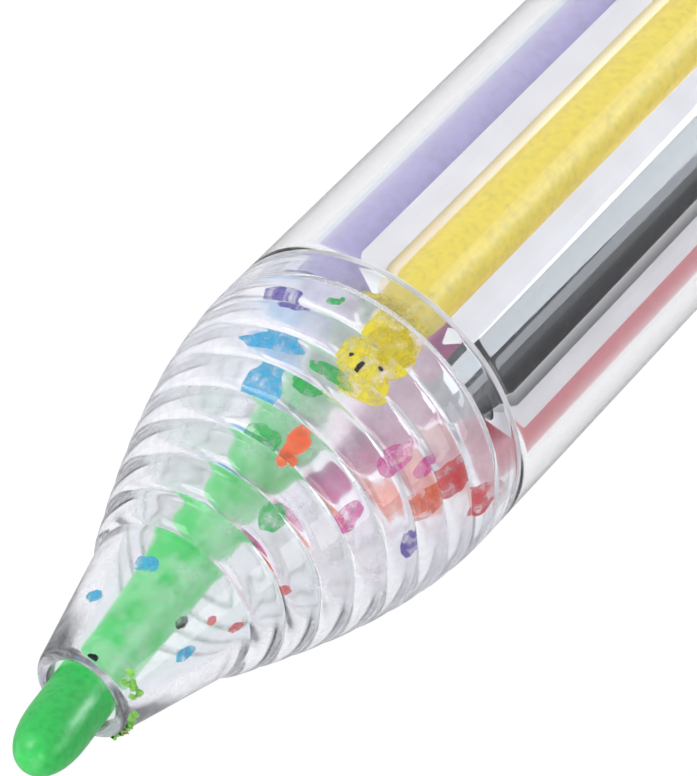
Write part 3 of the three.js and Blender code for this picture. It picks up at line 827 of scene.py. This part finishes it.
# A turned cap with a spigot and a socket for the core's tail, and a tooth that closes each slot. Its
# outer edge is a quarter circle, radius - edge + edge * sin(a) at height edge - edge * cos(a).
def capShell():
    radius, edge, top, stop = pen["barrelRadius"], endCap["edge"], pen["capThickness"], pen["slideStop"]
    spigot, socket, floor = endCap["spigotRadius"], endCap["socketRadius"], endCap["socketFloor"]
    arc = np.linspace(0, np.pi / 2, 8)
    outline = [(0, 0)] + [(radius - edge + edge * math.sin(a), edge - edge * math.cos(a)) for a in arc]
    outline += [(radius, top - 0.15), (radius - 0.15, top), (spigot, top), (spigot, stop - 0.2)]
    outline += [(spigot - 0.2, stop), (socket + 0.2, stop), (socket, stop - 0.2), (socket, floor), (0, floor)]
    shells = [turnedShell(outline, endCap["sides"])]
    half = endCap["tooth"] / 2
    for index in range(stations):
        points, faces = blockShell((spigot - 1, -half, top - 1), (radius - 0.2, half, stop), 0.2)
        shells.append((points @ turn("z", index * sector).T, faces))
    return joinShells(shells)


makePiece("end_cap_white", capShell(), whiteMoulding, "housing", ["end_cap"], weld=True)
print("core and end cap made")

# Floor in metres. Sky is the room's light on matt faces, around what glossy and clear faces see of it,
# sides how it fades between the two ends of across, and room its brightness by how far a direction
# points to the camera.
stage = {
    "floor": 4.0, "paper": (0.6, 0.6, 0.62), "glow": 1.1, "lit": 0.85, "sky": 0.5, "around": 1.0,
    "sides": (1.12, 0.62), "across": (-0.7, 0.7),
    "room": [(0.72, (1, 1, 1)), (0.9, (0.82, 0.82, 0.88)), (0.975, (0.28, 0.31, 0.42))],
}


# White paper: matt for light, and a glow mixed in by "lit" where the camera sees it, straight or
# through clear plastic, so that it stays white without lighting the pen
def makeFloor():
    size = stage["floor"]
    mesh = bpy.data.meshes.new("floor")
    corners = [(-size, -size, 0), (size, -size, 0), (size, size, 0), (-size, size, 0)]
    mesh.from_pydata(corners, [], [(0, 1, 2, 3)])
    floor = bpy.data.objects.new("floor", mesh)
    bpy.context.scene.collection.objects.link(floor)
    floor.location.z = -0.0001
    material = bpy.data.materials.new("floor_paper")
    material.use_nodes = True
    nodes, links = material.node_tree.nodes, material.node_tree.links
    shader = nodes["Principled BSDF"]
    shader.inputs["Base Color"].default_value = (*stage["paper"], 1)
    shader.inputs["Roughness"].default_value = 0.9
    glow = nodes.new("ShaderNodeEmission")
    glow.inputs["Strength"].default_value = stage["glow"]
    path = nodes.new("ShaderNodeLightPath")
    seen = mathOf(nodes, links, "MAXIMUM", path.outputs["Is Camera Ray"], path.outputs["Is Transmission Ray"])
    share = mathOf(nodes, links, "MULTIPLY", seen, stage["lit"])
    both = mixOf(nodes, links, share, shader.outputs["BSDF"], glow.outputs["Emission"])
    links.new(both, nodes["Material Output"].inputs["Surface"])
    mesh.materials.append(material)


# The room is white except behind the camera, where it is dim, and it fades from the pen's lit side to
# the other: strength * (lit + (shaded - lit) * share of the way across)
def makeWorld():
    world = bpy.data.worlds.new("studio")
    bpy.context.scene.world = world
    world.use_nodes = True
    nodes, links = world.node_tree.nodes, world.node_tree.links
    back = nodes["Background"]
    place = nodes.new("ShaderNodeTexCoord")

    def shareAlong(direction):
        dot = nodes.new("ShaderNodeVectorMath")
        dot.operation = "DOT_PRODUCT"
        dot.inputs[1].default_value = direction
        links.new(place.outputs["Generated"], dot.inputs[0])
        return dot.outputs["Value"]

    links.new(rampOf(nodes, links, shareAlong(tuple(-forward)), stage["room"]), back.inputs["Color"])
    path = nodes.new("ShaderNodeLightPath")
    seen = mathOf(nodes, links, "MAXIMUM", path.outputs["Is Glossy Ray"], path.outputs["Is Transmission Ray"])
    strength = rangeOf(nodes, links, seen, (0, 1), (stage["sky"], stage["around"]))
    sideways = shareAlong((math.sin(view["facing"]), -math.cos(view["facing"]), 0))
    fade = rangeOf(nodes, links, sideways, stage["across"], stage["sides"])
    links.new(mathOf(nodes, links, "MULTIPLY", strength, fade), back.inputs["Strength"])
    white = nodes.new("ShaderNodeBackground")
    white.inputs["Color"].default_value = (1, 1, 1, 1)
    room, shown = back.outputs["Background"], white.outputs["Background"]
    both = mixOf(nodes, links, path.outputs["Is Camera Ray"], room, shown)
    links.new(both, nodes["World Output"].inputs["Surface"])


# Round: degrees round the pen's axis from the camera. Rise: degrees above the level of the nose.
lamps = {
    "key": {"round": -35, "rise": 50, "size": (0.5, 0.5), "distance": 1.0, "power": 2.2},
    "fill": {"round": 60, "rise": 35, "size": (0.5, 0.5), "distance": 1.0, "power": 3.4},
    "top": {"round": -120, "rise": 65, "size": (0.8, 0.8), "distance": 1.2, "power": 3.8},
}

# Narrow soft boxes close to the pen, in metres: they show as long highlights in the clear plastic.
# Those with a "high" stand upright, and the others lie over the floor along their reach.
strips = {
    "black_bright": {"round": -28, "wide": 0.036, "glow": 12.0, "colour": (0.86, 0.93, 1)},
    "black_middle": {"round": -41, "wide": 0.014, "glow": 5.0, "colour": (0.86, 0.93, 1)},
    "black_dim": {"round": -47, "wide": 0.012, "glow": 0.6},
    "yellow_line": {"round": 20, "wide": 0.01, "glow": 1.5},
    "nose": {"round": -45, "wide": 0.08, "glow": 2.2, "reach": (0.2, 0.2), "low": 0.02, "high": 0.165},
}
lying = {"reach": (0.07, 0.19), "low": 0.006, "colour": (1, 1, 1)}

card = {"round": (-50, -84), "reach": (0.03, 0.32), "low": 0.004, "shade": 0.92}


# A dark card on the floor, as a photographer lays one to draw a dark line down a bottle. Its cover
# is shade * sin(pi * share across), so that both its edges are soft.
def makeCard():
    shares = np.linspace(0, 1, 13)
    start, end = card["round"]
    around = view["facing"] + np.radians(start + shares * (end - start))[:, None]
    points = polarPoints(np.array([card["reach"]]), around, card["low"]).tolist()
    faces = [(2 * k, 2 * k + 1, 2 * k + 3, 2 * k + 2) for k in range(len(shares) - 1)]
    mesh = bpy.data.meshes.new("dark_card")
    mesh.from_pydata(points, [], faces)
    cover = mesh.attributes.new("cover", "FLOAT", "POINT")
    cover.data.foreach_set("value", np.repeat(card["shade"] * np.sin(math.pi * shares), 2))
    item = bpy.data.objects.new("dark_card", mesh)
    bpy.context.scene.collection.objects.link(item)
    material = bpy.data.materials.new("dark_card")
    material.use_nodes = True
    nodes, links = material.node_tree.nodes, material.node_tree.links
    nodes["Principled BSDF"].inputs["Base Color"].default_value = (0.02, 0.02, 0.025, 1)
    amount = nodes.new("ShaderNodeAttribute")
    amount.attribute_name = "cover"
    links.new(amount.outputs["Fac"], nodes["Principled BSDF"].inputs["Alpha"])
    mesh.materials.append(material)
    item.visible_camera = item.visible_diffuse = item.visible_shadow = False


# A rectangular lamp at a place, which shines against "away" and whose height follows "lengthwise"
def addLamp(name, size, power, place, away, lengthwise=None, colour=(1, 1, 1)):
    data = bpy.data.lights.new(name, "AREA")
    data.color = colour
    data.shape = "RECTANGLE"
    data.size, data.size_y = size
    data.energy = power
    item = bpy.data.objects.new(name, data)
    if lengthwise is None:
        spin = away.to_track_quat("Z", "Y").to_matrix()
    else:
        spin = Matrix([lengthwise.cross(away), lengthwise, away]).transposed()
    item.matrix_world = Matrix.Translation(place) @ spin.to_4x4()
    bpy.context.scene.collection.objects.link(item)
    return item


# The soft boxes and the strips. A strip's power is glow * pi * its area, so its brightness holds
# whatever its size.
def makeLamps():
    aim = Vector([v * mm for v in view["aim"]])
    for name, lamp in lamps.items():
        around, rise = view["facing"] + math.radians(lamp["round"]), math.radians(lamp["rise"])
        away = Vector([math.cos(around) * math.cos(rise), math.sin(around) * math.cos(rise), math.sin(rise)])
        addLamp(name, lamp["size"], lamp["power"], aim + away * lamp["distance"], away)
    for name, strip in strips.items():
        strip = {**lying, **strip}
        around = view["facing"] + math.radians(strip["round"])
        outward, upward = Vector([math.cos(around), math.sin(around), 0]), Vector([0, 0, 1])
        near, far = strip["reach"]
        if "high" in strip:
            long, middle = strip["high"] - strip["low"], (strip["high"] + strip["low"]) / 2
            away, lengthwise = outward, upward
        else:
            long, middle = far - near, strip["low"]
            away, lengthwise = -upward, outward
        power = strip["glow"] * math.pi * strip["wide"] * long
        place = outward * (near + far) / 2 + upward * middle
        item = addLamp(name, (strip["wide"], long), power, place, away, lengthwise, strip["colour"])
        item.visible_camera = item.visible_transmission = item.visible_diffuse = False


makeFloor()
makeCard()
makeWorld()
makeLamps()
bpy.context.scene.view_settings.view_transform = "Standard"
print("stage and lamps set")
